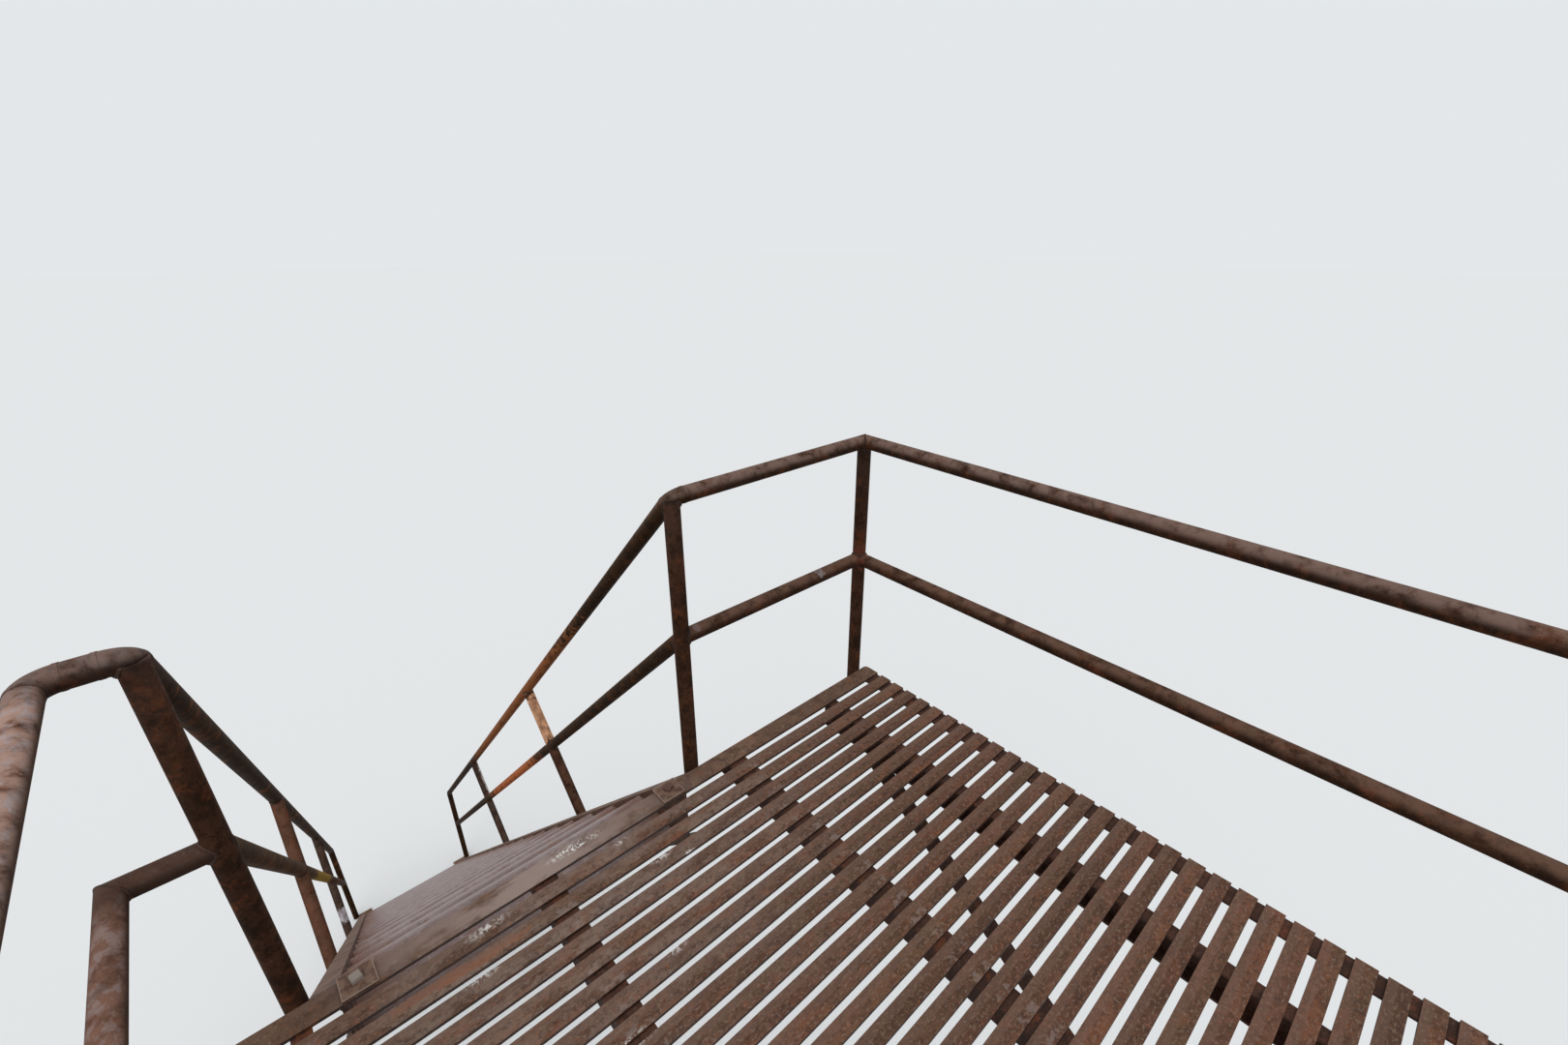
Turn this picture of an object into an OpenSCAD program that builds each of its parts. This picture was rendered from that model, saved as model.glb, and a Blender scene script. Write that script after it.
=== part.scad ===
// Fire escape stair: a landing of steel flat bars bracketed to a wall, a straight flight of
// folded plate treads between two channel stringers, and welded pipe guard rails.
// Lengths are in millimetres. X runs along the wall, Y points out from the wall, Z points up.
// The origin lies on the back face of the landing's rear edge angle, which is bolted flat to
// the wall, at the middle of the landing's width and of the angle's leg.

/* [Landing] */
// length of the landing along the wall
deck_w = 2148; // [2100:1:2400]
// number of flat bars between the front and rear edge angles
slat_count = 29; // [20:1:36]
// width of a flat bar
slat_w = 44.5; // [38:0.5:51]
// clear gap between two flat bars
slat_gap = 18; // [12:0.5:25]
// clear gap behind the front edge angle
front_gap = 22; // [12:0.5:30]
// thickness of the flat bars and of the two edge angles
slat_t = 9.5; // [6:0.1:12]
// leg of the angles that frame and carry the landing
angle_leg = 63.5; // [56:0.5:76]
// thickness of the angles that carry the landing
angle_t = 6.4; // [5:0.1:9]
// distance of each inner bearer from the middle of the landing
inner_bearer_x = 334; // [250:1:420]
// radius of the landing's rounded front right corner
corner_r = 16; // [6:1:30]
// distance of the rear edge angle's anchor holes from the middle of the landing
rear_anchor_x = 950; // [900:1:1000]

/* [Stair] */
// middle of the flight, measured from the middle of the landing
stair_x = -314; // [-340:1:-290]
// clear width between the stringers
stair_w = 937; // [860:1:980]
// number of risers from the ground up to the landing
riser_count = 20; // [17:1:24]
// height of one riser
rise = 245; // [210:1:260]
// level distance from one nosing to the next
going = 248; // [240:1:280]
// depth of the stringer channel
stringer_d = 203; // [180:1:230]
// flange width of the stringer channel
stringer_flange = 57.4; // [45:0.1:70]
// web thickness of the stringer channel
stringer_web_t = 5.6; // [4:0.1:8]
// flange thickness of the stringer channel
stringer_flange_t = 9.9; // [7:0.1:12]
// length of stringer that reaches under the landing
stringer_tail = 60; // [40:1:62]
// depth of a tread from its nosing to its back edge
tread_d = 232; // [200:1:238]
// thickness of the tread plate
tread_t = 5; // [4:0.1:8]
// height of the tread's folded front and back lips
tread_lip = 38; // [28:1:50]
// outside radius of the tread's folds
fold_r = 9; // [8.5:0.1:14]
// clear gap between a tread plate's end and the stringer's web
tread_end_gap = 9.5; // [4:0.5:14]
// leg of the small angle that carries each end of a tread
cleat_leg = 32; // [26:0.5:40]
// thickness of that small angle
cleat_t = 5; // [4:0.1:6]
// leg of the clip angle that hangs each stringer from the landing's front bar
clip_leg = 76; // [64:1:90]
// thickness of that clip angle
clip_t = 8; // [6:0.1:10]
// length of that clip angle, square to the wall
clip_len = 70; // [50:1:76]

/* [Guard rails] */
// outside diameter of the rail pipe
pipe_d = 48.3; // [42:0.1:56]
// height of the top rail's centreline over the landing
rail_h = 948; // [850:1:1100]
// height of the middle rail's centreline over the landing
mid_rail_h = 495; // [400:5:600]
// distance of the corner post in from the landing's right end
right_inset = 47; // [30:1:60]
// distance of the left middle rail in from the landing's left end
left_inset = 51; // [30:1:56]
// distance of the left top rail in from the landing's left end
left_top_inset = 88; // [70:1:90]
// centreline radius of the top rail's tight bends
rail_bend_r = 38; // [32:1:55]
// centreline radius of the bend at the foot of a stair rail
end_bend_r = 90; // [50:1:200]
// level distance from a landing post to the upper stair post, along the rail
upper_bay = 1576; // [1200:1:1800]
// level distance from the upper to the lower stair post, along the rail
middle_bay = 1775; // [1400:1:1850]
// reach of the end post's centre past the foot of the flight
end_post_reach = 10; // [0:1:40]
// diameter of the round flanges that hold the rails to the wall
wall_flange_d = 100; // [80:1:110]
// thickness of those flanges
wall_flange_t = 8; // [5:0.1:12]

/* [Wall brackets] */
// distance of the right bracket's outer face from the middle of the landing
right_bracket_x = 839; // [760:1:890]
// clear gap between the left bracket and the left stringer
bracket_clear = 5; // [3:1:20]
// depth of the bracket's level channel
chord_d = 102; // [80:1:120]
// flange width of the bracket's level channel
chord_flange = 41; // [30:1:50]
// web thickness of the bracket's level channel
chord_web_t = 6; // [4:0.1:8]
// flange thickness of the bracket's level channel
chord_flange_t = 7.5; // [5:0.1:10]
// depth below the landing at which the brace's centreline meets the wall
brace_drop = 1278; // [1000:1:1500]
// distance behind the front edge at which the brace's centreline meets the landing's top
brace_setback = 60; // [40:1:200]
// length of the wall upright below the foot of the brace
upright_reach = 110; // [80:1:200]

/* [Anchors] */
// diameter of the anchor bolt holes
anchor_d = 14; // [12:0.5:18]
// distance of an anchor hole from the corner of its upright's angle
anchor_gauge = 38; // [32:1:44]
// distance of an anchor hole from the end of its upright or foot plate
anchor_end = 50; // [40:1:70]
// thickness of the stringers' foot plates
foot_t = 8; // [6:0.1:12]
// reach of a foot plate past the stringer's heel and toe
foot_margin = 20; // [10:1:40]
// reach of a foot plate inward from the stringer's web
foot_inner = 60; // [50:1:80]

/* [Hidden] */
// clearance between two pieces that are welded or bolted together
seat = 0.2;
// length of rail pipe that is left straight before a weld beside a bend
weld_stub = 10;
// length along the pipe of the bead at a bend's two butt welds, and its height
bead_w = 8;
bead_h = 0.8;
fn = 48;
far = 20000;

half_w = deck_w / 2;
pipe_r = pipe_d / 2;
slat_pitch = slat_w + slat_gap;
deck_d = 2 * angle_leg + front_gap + slat_count * slat_pitch;
deck_top = angle_leg / 2;
deck_under = deck_top - slat_t;
ground = deck_top - riser_count * rise;
slope = atan2(rise, going);
tread_count = riser_count - 1;
web_x = stair_w / 2;
toe_x = web_x + stringer_flange;
stair_foot_y = deck_d + riser_count * going;
post_x = toe_x + seat + pipe_r;
post_y = deck_d + seat + pipe_r;
post_foot_z = deck_top - angle_leg;
rail_z = deck_top + rail_h;
mid_z = deck_top + mid_rail_h;
right_rail_x = half_w - right_inset;
left_rail_x = left_inset - half_w;
left_top_x = left_top_inset - half_w;
end_post_run = stair_foot_y + end_post_reach - post_y;
left_bracket_x = toe_x - stair_x + bracket_clear + chord_flange;
chord_under = deck_under - chord_d;
brace_foot_z = deck_top - brace_drop;
upright_foot_z = brace_foot_z - upright_reach;
plate_end_x = web_x - tread_end_gap;
foot_heel_y = stair_foot_y - stringer_d / sin(slope) - foot_margin;
foot_toe_y = stair_foot_y + foot_margin;

// name of tread k, counted down from the landing
function tread_name(k) = str("tread_", k < 10 ? "0" : "", k);

// a vector's direction, at length one
function unit(v) = v / norm(v);

// a point moved down the slope of the stair by a level run
function down_slope(p, run) = p + [0, run, -run * rise / going];

// Pieces that several sub-parts are made of

// a round bar from point a to point b
module rod(a, b, r = pipe_r) {
    v = b - a;
    translate(a)
        rotate([0, acos(v.z / norm(v)), atan2(v.y, v.x)])
            cylinder(r = r, h = norm(v), $fn = fn);
}

// the bend of a pipe at point p, which it reaches from point before and leaves to point after
module bend(before, p, after, bend_r, r) {
    u = unit(p - before);
    v = unit(after - p);
    turn = acos(u * v);
    n = unit(v - (u * v) * u);
    w = cross(u, n);
    c = p - u * bend_r * tan(turn / 2) + n * bend_r;
    multmatrix([
        [-n.x, u.x, w.x, c.x],
        [-n.y, u.y, w.y, c.y],
        [-n.z, u.z, w.z, c.z],
        [0, 0, 0, 1]
    ])
        rotate_extrude(angle = turn, $fn = 2 * fn)
            translate([bend_r, 0])
                circle(r = r, $fn = fn);
}

// length of pipe that the bend at point i takes from each of its two straight lengths
function bend_trim(points, radii, i) =
    radii[i] == 0 ? 0
    : radii[i] * tan(acos(unit(points[i] - points[i - 1]) * unit(points[i + 1] - points[i])) / 2);

// the bead of a butt weld round a pipe at point p
module bead(p, along, r) {
    rod(p - along * bead_w / 2, p + along * bead_w / 2, r + bead_h);
}

// one pipe through several points, with an elbow of its own radius welded in at each inner one
module pipe_run(points, radii, r = pipe_r) {
    last = len(points) - 1;
    for (i = [0 : last - 1]) {
        along = unit(points[i + 1] - points[i]);
        a = points[i] + along * bend_trim(points, radii, i);
        b = points[i + 1] - along * bend_trim(points, radii, i + 1);
        rod(a, b, r);
        if (i > 0)
            bead(a, along, r);
        if (i < last - 1)
            bead(b, along, r);
    }
    for (i = [1 : last - 1])
        bend(points[i - 1], points[i], points[i + 1], radii[i], r);
}

// keeps the part of a shape on the side of point p that direction n points to
module keep_side(p, n, gap = 0) {
    intersection() {
        children();
        translate(p)
            rotate([0, acos(n.z / norm(n)), atan2(n.y, n.x)])
                translate([-far / 2, -far / 2, gap])
                    cube(far);
    }
}

// takes the room of a pipe from a to b out of a shape, for a coped joint
module coped(a, b) {
    difference() {
        children();
        rod(a, b, pipe_r + seat);
    }
}

// an angle profile with its corner at the origin and its legs along +X and +Y
module angle_profile(leg, t) {
    square([leg, t]);
    square([t, leg]);
}

// a channel profile with its web's back on the Y axis, centred on X, its toes toward +X
module channel_profile(depth, flange, web_t, flange_t) {
    difference() {
        translate([0, -depth / 2])
            square([flange, depth]);
        translate([web_t, flange_t - depth / 2])
            square([flange, depth - 2 * flange_t]);
    }
}

// extrudes along Y, from y0 to y1, a profile drawn in X and Z
module along_y(y0, y1) {
    translate([0, y1, 0])
        rotate([90, 0, 0])
            linear_extrude(y1 - y0)
                children();
}

// extrudes along X, from x0 to x1, a profile drawn in Y and Z
module along_x(x0, x1) {
    translate([x0, 0, 0])
        rotate([90, 0, 90])
            linear_extrude(x1 - x0)
                children();
}

// draws its children as on the right, or mirrored to the left
module on_side(side) {
    mirror([side < 0 ? 1 : 0, 0, 0])
        children();
}

// Landing

// nearest y of slat i, counted back from the front
function slat_y(i) = deck_d - angle_leg - front_gap - slat_w - i * slat_pitch;

module deck_slats() {
    color("#6d4b40")
        for (i = [0 : slat_count - 1])
            translate([-half_w, slat_y(i), deck_under])
                cube([deck_w, slat_w, slat_t]);
}

// the walked-on bar of a front edge piece from x0 to x1
module front_bar(x0, x1) {
    translate([x0, deck_d - angle_leg, deck_under])
        cube([x1 - x0, angle_leg, slat_t]);
}

// the hanging leg of a front edge piece from x0 to x1
module front_leg(x0, x1) {
    translate([x0, deck_d - slat_t, post_foot_z])
        cube([x1 - x0, slat_t, angle_leg]);
}

// takes the front right corner of the landing off to a radius
module rounded_corner() {
    difference() {
        children();
        translate([half_w - corner_r, deck_d - corner_r, -far / 2])
            difference() {
                cube([far, far, far]);
                cylinder(r = corner_r, h = far, $fn = fn);
            }
    }
}

// two lengths of angle, notched where the stringers pass, and a flat bar between the clips
module front_edge_bars() {
    clip_x = web_x - clip_t - seat;
    color("#70483a") {
        front_bar(stair_x - clip_x, stair_x + clip_x);
        rounded_corner()
            union() {
                front_bar(stair_x + web_x + seat, half_w);
                front_leg(stair_x + toe_x + seat, half_w);
            }
        front_bar(-half_w, stair_x - web_x - seat);
        front_leg(-half_w, stair_x - toe_x - seat);
    }
}

module rear_edge_angle() {
    color("#70483a")
        difference() {
            along_x(-half_w, half_w)
                translate([0, deck_top])
                    mirror([0, 1])
                        angle_profile(angle_leg, slat_t);
            for (side = [-1, 1])
                anchor_hole([side * rear_anchor_x, 0, 0], slat_t);
        }
}

// a bolt hole that runs out from the wall at point p, through a plate of thickness t
module anchor_hole(p, t) {
    translate(p + [0, 2 * t, 0])
        rotate([90, 0, 0])
            cylinder(d = anchor_d, h = 3 * t, $fn = fn);
}

// an angle that carries the slats, its hanging leg's outer face at x0
module bearer(x0, side) {
    translate([x0, 0, 0])
        on_side(side)
            along_y(slat_t + seat, deck_d - slat_t - seat)
                translate([0, deck_under])
                    mirror([0, 1])
                        angle_profile(angle_leg, angle_t);
}

module deck_bearers() {
    color("#5c3a2e") {
        bearer(half_w, -1);
        bearer(-half_w, 1);
        bearer(inner_bearer_x, 1);
        bearer(-inner_bearer_x, 1);
    }
}

// Wall brackets, each drawn for the right with its outer face at bracket_x

module bracket_channel(side, bracket_x) {
    color("#553428")
        on_side(side)
            translate([bracket_x, 0, deck_under - chord_d / 2])
                along_y(slat_t + seat, deck_d - slat_t - seat)
                    mirror([1, 0])
                        channel_profile(chord_d, chord_flange, chord_web_t, chord_flange_t);
}

// a sloping angle, heel up, cut level under the channel and upright at the wall
module bracket_brace(side, bracket_x) {
    foot = [bracket_x, 0, brace_foot_z];
    head = [bracket_x, deck_d - brace_setback, deck_top];
    tilt = atan2(head.z - foot.z, head.y - foot.y);
    color("#553428")
        on_side(side)
            intersection() {
                translate(foot)
                    rotate([tilt, 0, 0])
                        along_y(-angle_leg, norm(head - foot))
                            translate([0, angle_leg / 2])
                                rotate(180)
                                    angle_profile(angle_leg, angle_t);
                translate([0, angle_leg + seat, chord_under - seat - far])
                    cube(far);
            }
}

// an upright angle on the wall, from under the channel down past the foot of the brace
module wall_upright(side, bracket_x) {
    color("#553428")
        on_side(side)
            difference() {
                translate([bracket_x, 0, upright_foot_z])
                    linear_extrude(chord_under - seat - upright_foot_z)
                        mirror([1, 0])
                            angle_profile(angle_leg, angle_t);
                for (z = [upright_foot_z + anchor_end, chord_under - anchor_end])
                    anchor_hole([bracket_x - anchor_gauge, 0, z], angle_t);
            }
}

// Flight of stairs, drawn about its own middle

// the right stringer's channel, its top flange along the nosings, longer than it ends up
module stringer_channel() {
    over = 2 * stringer_d;
    translate([web_x, deck_d, deck_top])
        rotate([-slope, 0, 0])
            along_y(-over, riser_count * norm([rise, going]) + over)
                translate([0, -stringer_d / 2])
                    channel_profile(stringer_d, stringer_flange, stringer_web_t, stringer_flange_t);
}

// the room that a stringer may fill: before the landing and on its foot, and a tail under it
module stringer_room() {
    translate([0, deck_d + seat, ground])
        cube(far);
    translate([0, deck_d - stringer_tail, ground])
        cube([far, far, deck_under - seat - ground]);
}

// the clip lies on the end of the front bar and hangs down the inside of the web
module stringer_clip() {
    y1 = deck_d + clip_t;
    translate([web_x, 0, deck_top + clip_t])
        along_y(y1 - clip_len, y1)
            rotate(180)
                angle_profile(clip_leg, clip_t);
}

module foot_plate() {
    difference() {
        translate([web_x - foot_inner, foot_heel_y, ground])
            cube([foot_inner + stringer_flange, foot_toe_y - foot_heel_y, foot_t]);
        for (y = [foot_heel_y + anchor_end, foot_toe_y - anchor_end])
            translate([web_x - foot_inner / 2, y, ground - foot_t])
                cylinder(d = anchor_d, h = 3 * foot_t, $fn = fn);
    }
}

module stringer(side) {
    color("#7a5a4c")
        translate([stair_x, 0, 0])
            on_side(side) {
                intersection() {
                    stringer_channel();
                    stringer_room();
                }
                stringer_clip();
                foot_plate();
            }
}

// section of a folded plate tread, the front of its nosing and its top at 0
module tread_profile() {
    difference() {
        pan_outline(tread_d, tread_lip, fold_r);
        translate([-tread_t, -tread_t])
            pan_outline(tread_d - 2 * tread_t, tread_lip, fold_r - tread_t);
    }
}

// a level-topped block from y -d to 0 with its two upper corners rounded
module pan_outline(d, h, r) {
    translate([-d, -h])
        square([d, h - r]);
    translate([r - d, -h])
        square([d - 2 * r, h]);
    for (y = [r - d, -r])
        translate([y, -r])
            circle(r = r, $fn = fn);
}

// a small angle that carries one end of a tread, its leg against the web
module tread_cleat() {
    lip_room = fold_r + tread_t;
    translate([web_x - seat, 0, -tread_t])
        along_y(lip_room - tread_d, -lip_room)
            rotate(180)
                angle_profile(cleat_leg, cleat_t);
}

module tread(k) {
    color("#8a7474")
        translate([stair_x, deck_d + k * going, deck_top - k * rise]) {
            along_x(-plate_end_x, plate_end_x)
                tread_profile();
            for (side = [-1, 1])
                on_side(side)
                    tread_cleat();
        }
}

// Guard rails

corner_top = [right_rail_x, post_y, rail_z];
corner_mid = [right_rail_x, post_y, mid_z];
left_turn_top = [left_top_x, post_y, rail_z];
left_turn_mid = [left_rail_x, post_y, mid_z];
post_shoulder = [0, 0, pipe_r];

function landing_top(side) = [stair_x + side * post_x, post_y, rail_z];
function landing_mid(side) = [stair_x + side * post_x, post_y, mid_z];

// a point on the level top rail, past the tight bend and the stub beside a landing post
function bend_start(side) = landing_top(side) + [side * (rail_bend_r + weld_stub), 0, 0];

// points of the pipe that turns at a landing post, runs down the stair and drops to the ground
function stair_rail_points(side) =
    let (top = landing_top(side), end = down_slope(top, end_post_run))
    [bend_start(side), top, end, [end.x, end.y, ground]];
stair_rail_radii = [0, rail_bend_r, end_bend_r, 0];

// a round flange on the wall at the end of a rail
module wall_flange(x, z) {
    rod([x, 0, z], [x, wall_flange_t, z], wall_flange_d / 2);
}

// keeps the part of a shape on one side of the upright mitre plane over the corner post
module on_mitre_side(x_way, gap) {
    intersection() {
        children();
        translate([corner_top.x + x_way * gap, corner_top.y, -far / 2])
            linear_extrude(far)
                polygon([[-far, -far], [far, far], [x_way * far, -x_way * far]]);
    }
}

// the two top rails that meet in a mitre over the corner post, before they are cut to it
module front_top_rail(r = pipe_r) {
    rod(bend_start(1) + [seat, 0, 0], corner_top + [pipe_d, 0, 0], r);
}

module side_top_rail(r = pipe_r) {
    rod([right_rail_x, 0, rail_z], corner_top + [0, pipe_d, 0], r);
}

// the corner post, each half of its top coped under the top rail on its own side of the mitre
module corner_post() {
    color("#4a2e24")
        for (x_way = [-1, 1])
            difference() {
                on_mitre_side(x_way, 0)
                    rod([right_rail_x, post_y, post_foot_z], corner_top - post_shoulder / 2);
                if (x_way < 0)
                    front_top_rail(pipe_r + seat);
                else
                    side_top_rail(pipe_r + seat);
            }
}

// a landing post, coped under the bend of the stair's top rail
module landing_post(side) {
    top = landing_top(side);
    color("#4a2e24")
        difference() {
            rod([top.x, post_y, post_foot_z], top - post_shoulder / 2);
            pipe_run(stair_rail_points(side), stair_rail_radii, pipe_r + seat);
        }
}

// top and middle rail from the corner post back to the wall
module right_side_rails() {
    color("#4a2e24") {
        on_mitre_side(1, seat)
            side_top_rail();
        wall_flange(right_rail_x, rail_z);
        coped(corner_mid - post_shoulder, corner_mid + post_shoulder)
            rod([right_rail_x, 0, mid_z], corner_mid);
        wall_flange(right_rail_x, mid_z);
    }
}

// top and middle rail from the corner post to the right landing post
module front_rails() {
    mid = landing_mid(1);
    color("#4a2e24") {
        on_mitre_side(-1, seat)
            front_top_rail();
        coped(corner_mid - post_shoulder * 2, corner_mid + post_shoulder * 2)
            coped(mid - post_shoulder * 2, mid + post_shoulder * 2)
                rod(mid, corner_mid);
    }
}

// the left pair of rails turns the landing's corner with no post: a bend above, a mitre below,
// the upper rail a little further in than the lower
module left_side_rails() {
    mid = landing_mid(-1);
    color("#5f4138") {
        pipe_run([bend_start(-1) - [seat, 0, 0], left_turn_top, [left_top_x, 0, rail_z]],
            [0, rail_bend_r, 0]);
        wall_flange(left_top_x, rail_z);
        keep_side(left_turn_mid, [1, 1, 0])
            coped(mid - post_shoulder * 2, mid + post_shoulder * 2)
                rod(left_turn_mid - [pipe_d, 0, 0], mid);
        keep_side(left_turn_mid, [-1, -1, 0])
            rod([left_rail_x, 0, mid_z], left_turn_mid + [0, pipe_d, 0]);
        wall_flange(left_rail_x, mid_z);
    }
}

module stair_top_rail(side) {
    color("#4a2e24")
        pipe_run(stair_rail_points(side), stair_rail_radii);
}

// where a stair post meets the top rail, and the direction down it, square to the slope
function stair_post_top(side, run) = down_slope(landing_top(side), run);
square_down = [0, -sin(slope), -cos(slope)];

// length of a stair post from the top rail's centreline to the stringer's lower flange
stair_post_len = (rail_h + (post_y - deck_d) * rise / going) * cos(slope) + stringer_d;

// a stair post, coped under the top rail and welded to the toes of the stringer's flanges
module stair_post(side, run) {
    top = stair_post_top(side, run);
    color("#5a3022")
        coped(down_slope(top, -pipe_d), down_slope(top, pipe_d))
            rod(top, top + square_down * stair_post_len);
}

// the middle rail in three lengths between the landing post, two stair posts and end post
module stair_mid_rails(side) {
    mid = landing_mid(side);
    end = down_slope(mid, end_post_run);
    color("#5a3022")
        difference() {
            rod(mid, end);
            rod(mid - post_shoulder * 2, mid + post_shoulder * 2, pipe_r + seat);
            rod(end - post_shoulder * 2, end + post_shoulder * 3, pipe_r + seat);
            for (run = [upper_bay, upper_bay + middle_bay])
                rod(stair_post_top(side, run),
                    stair_post_top(side, run) + square_down * stair_post_len, pipe_r + seat);
        }
}

deck_slats();
front_edge_bars();
rear_edge_angle();
deck_bearers();
bracket_channel(1, right_bracket_x);  // right_bracket_channel
bracket_channel(-1, left_bracket_x);  // left_bracket_channel
bracket_brace(1, right_bracket_x);  // right_bracket_brace
bracket_brace(-1, left_bracket_x);  // left_bracket_brace
wall_upright(1, right_bracket_x);  // right_wall_upright
wall_upright(-1, left_bracket_x);  // left_wall_upright
stringer(1);  // right_stringer
stringer(-1);  // left_stringer
for (k = [1 : tread_count])
    tread(k);
corner_post();
landing_post(1);  // right_landing_post
landing_post(-1);  // left_landing_post
right_side_rails();
front_rails();
left_side_rails();
stair_top_rail(1);  // right_stair_top_rail
stair_top_rail(-1);  // left_stair_top_rail
stair_mid_rails(1);  // right_stair_mid_rails
stair_mid_rails(-1);  // left_stair_mid_rails
stair_post(1, upper_bay);  // right_upper_post
stair_post(-1, upper_bay);  // left_upper_post
stair_post(1, upper_bay + middle_bay);  // right_lower_post
stair_post(-1, upper_bay + middle_bay);  // left_lower_post
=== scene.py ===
"""Looks of the fire escape stair: weathered steel, bolts and weld beads on the fixed CAD frame."""

import math

import bmesh
import bpy
from mathutils import Matrix, Vector, noise
from mathutils.bvhtree import BVHTree


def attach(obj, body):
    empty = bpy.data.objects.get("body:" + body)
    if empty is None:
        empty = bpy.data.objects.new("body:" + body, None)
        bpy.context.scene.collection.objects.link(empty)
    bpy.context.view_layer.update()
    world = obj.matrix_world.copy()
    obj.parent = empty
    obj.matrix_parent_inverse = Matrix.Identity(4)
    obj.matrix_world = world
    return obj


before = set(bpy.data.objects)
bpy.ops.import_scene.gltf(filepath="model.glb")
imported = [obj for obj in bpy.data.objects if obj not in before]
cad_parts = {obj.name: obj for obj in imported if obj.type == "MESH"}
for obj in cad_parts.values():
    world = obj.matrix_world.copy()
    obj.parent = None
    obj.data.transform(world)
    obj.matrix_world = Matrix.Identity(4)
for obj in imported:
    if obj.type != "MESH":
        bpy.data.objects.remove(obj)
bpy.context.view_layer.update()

# Sizes of the CAD part, in metres

DECK_TOP = 0.03175
DECK_HALF = 1.074
SLAT_COUNT = 29
SLAT_W = 0.0445
SLAT_T = 0.0095
SLAT_PITCH = 0.0625
ANGLE_LEG = 0.0635
ANGLE_T = 0.0064
FRONT_GAP = 0.022
INNER_BEARER_X = 0.334
STAIR_X = -0.314
WEB_X = 0.4685
STRINGER_FLANGE = 0.0574
STRINGER_D = 0.203
RISER_COUNT = 20
RISE = 0.245
GOING = 0.248
SEAT = 0.0002
PIPE_R = 0.02415
RAIL_H = 0.948
MID_RAIL_H = 0.495
RIGHT_INSET = 0.047
LEFT_INSET = 0.051
LEFT_TOP_INSET = 0.088
UPPER_BAY = 1.576
MIDDLE_BAY = 1.775
END_POST_REACH = 0.010
CLIP_T = 0.008
CLIP_LEG = 0.076
CLIP_LEN = 0.070
WALL_FLANGE_T = 0.008
FOOT_T = 0.008

# Its bolt holes

REAR_BOLT_XS = (-0.950, 0.950)
UPRIGHT_BOLT_XS = (0.801, -0.8479)
UPRIGHT_BOLT_ZS = (-1.30625, -0.12975)
FOOT_BOLT_IN = 0.030
FOOT_BOLT_YS = (6.66265, 6.8915)
CLIP_BOLT_IN = 0.0365
CLIP_BOLT_BACK = 0.032

# Places that follow from those sizes

DECK_UNDER = DECK_TOP - SLAT_T
DECK_D = 2 * ANGLE_LEG + FRONT_GAP + SLAT_COUNT * SLAT_PITCH
SLATS_FRONT = DECK_D - ANGLE_LEG - FRONT_GAP
INNER_BEARERS = ((INNER_BEARER_X, 1), (-INNER_BEARER_X, 1))
BEARERS = ((DECK_HALF, -1), (-DECK_HALF, 1)) + INNER_BEARERS
GROUND = DECK_TOP - RISER_COUNT * RISE
TOE_X = WEB_X + STRINGER_FLANGE
POST_X = TOE_X + SEAT + PIPE_R
POST_Y = DECK_D + SEAT + PIPE_R
RIGHT_POST_X = STAIR_X + POST_X
LEFT_POST_X = STAIR_X - POST_X
POST_FOOT_Z = DECK_TOP - ANGLE_LEG
RAIL_Z = DECK_TOP + RAIL_H
MID_Z = DECK_TOP + MID_RAIL_H
RIGHT_RAIL_X = DECK_HALF - RIGHT_INSET
LEFT_RAIL_X = LEFT_INSET - DECK_HALF
LEFT_TOP_X = LEFT_TOP_INSET - DECK_HALF
WALL_ENDS = (
    (RIGHT_RAIL_X, RAIL_Z),
    (RIGHT_RAIL_X, MID_Z),
    (LEFT_TOP_X, RAIL_Z),
    (LEFT_RAIL_X, MID_Z),
)
POST_RUNS = (("upper", UPPER_BAY), ("lower", UPPER_BAY + MIDDLE_BAY))
END_RUN = DECK_D + RISER_COUNT * GOING + END_POST_REACH - POST_Y
CLIP_BOLT_X = WEB_X - CLIP_BOLT_IN
CLIP_BOLT_Y = DECK_D + CLIP_T - CLIP_BOLT_BACK
X, Y, Z = Vector((1, 0, 0)), Vector((0, 1, 0)), Vector((0, 0, 1))
SLOPE = math.atan2(RISE, GOING)
DOWN = Vector((0, math.cos(SLOPE), -math.sin(SLOPE)))
SQUARE_DOWN = Vector((0, -math.sin(SLOPE), -math.cos(SLOPE)))
SIDES = (("right", 1), ("left", -1))


def tone(red, green, blue):
    """A colour as it is read off a screen, from 0 to 255, turned into Blender's linear colour."""
    linear = []
    for value in (red, green, blue):
        c = value / 255
        linear.append(c / 12.92 if c <= 0.04045 else ((c + 0.055) / 1.055) ** 2.4)
    return (*linear, 1)


# Material graphs


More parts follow.
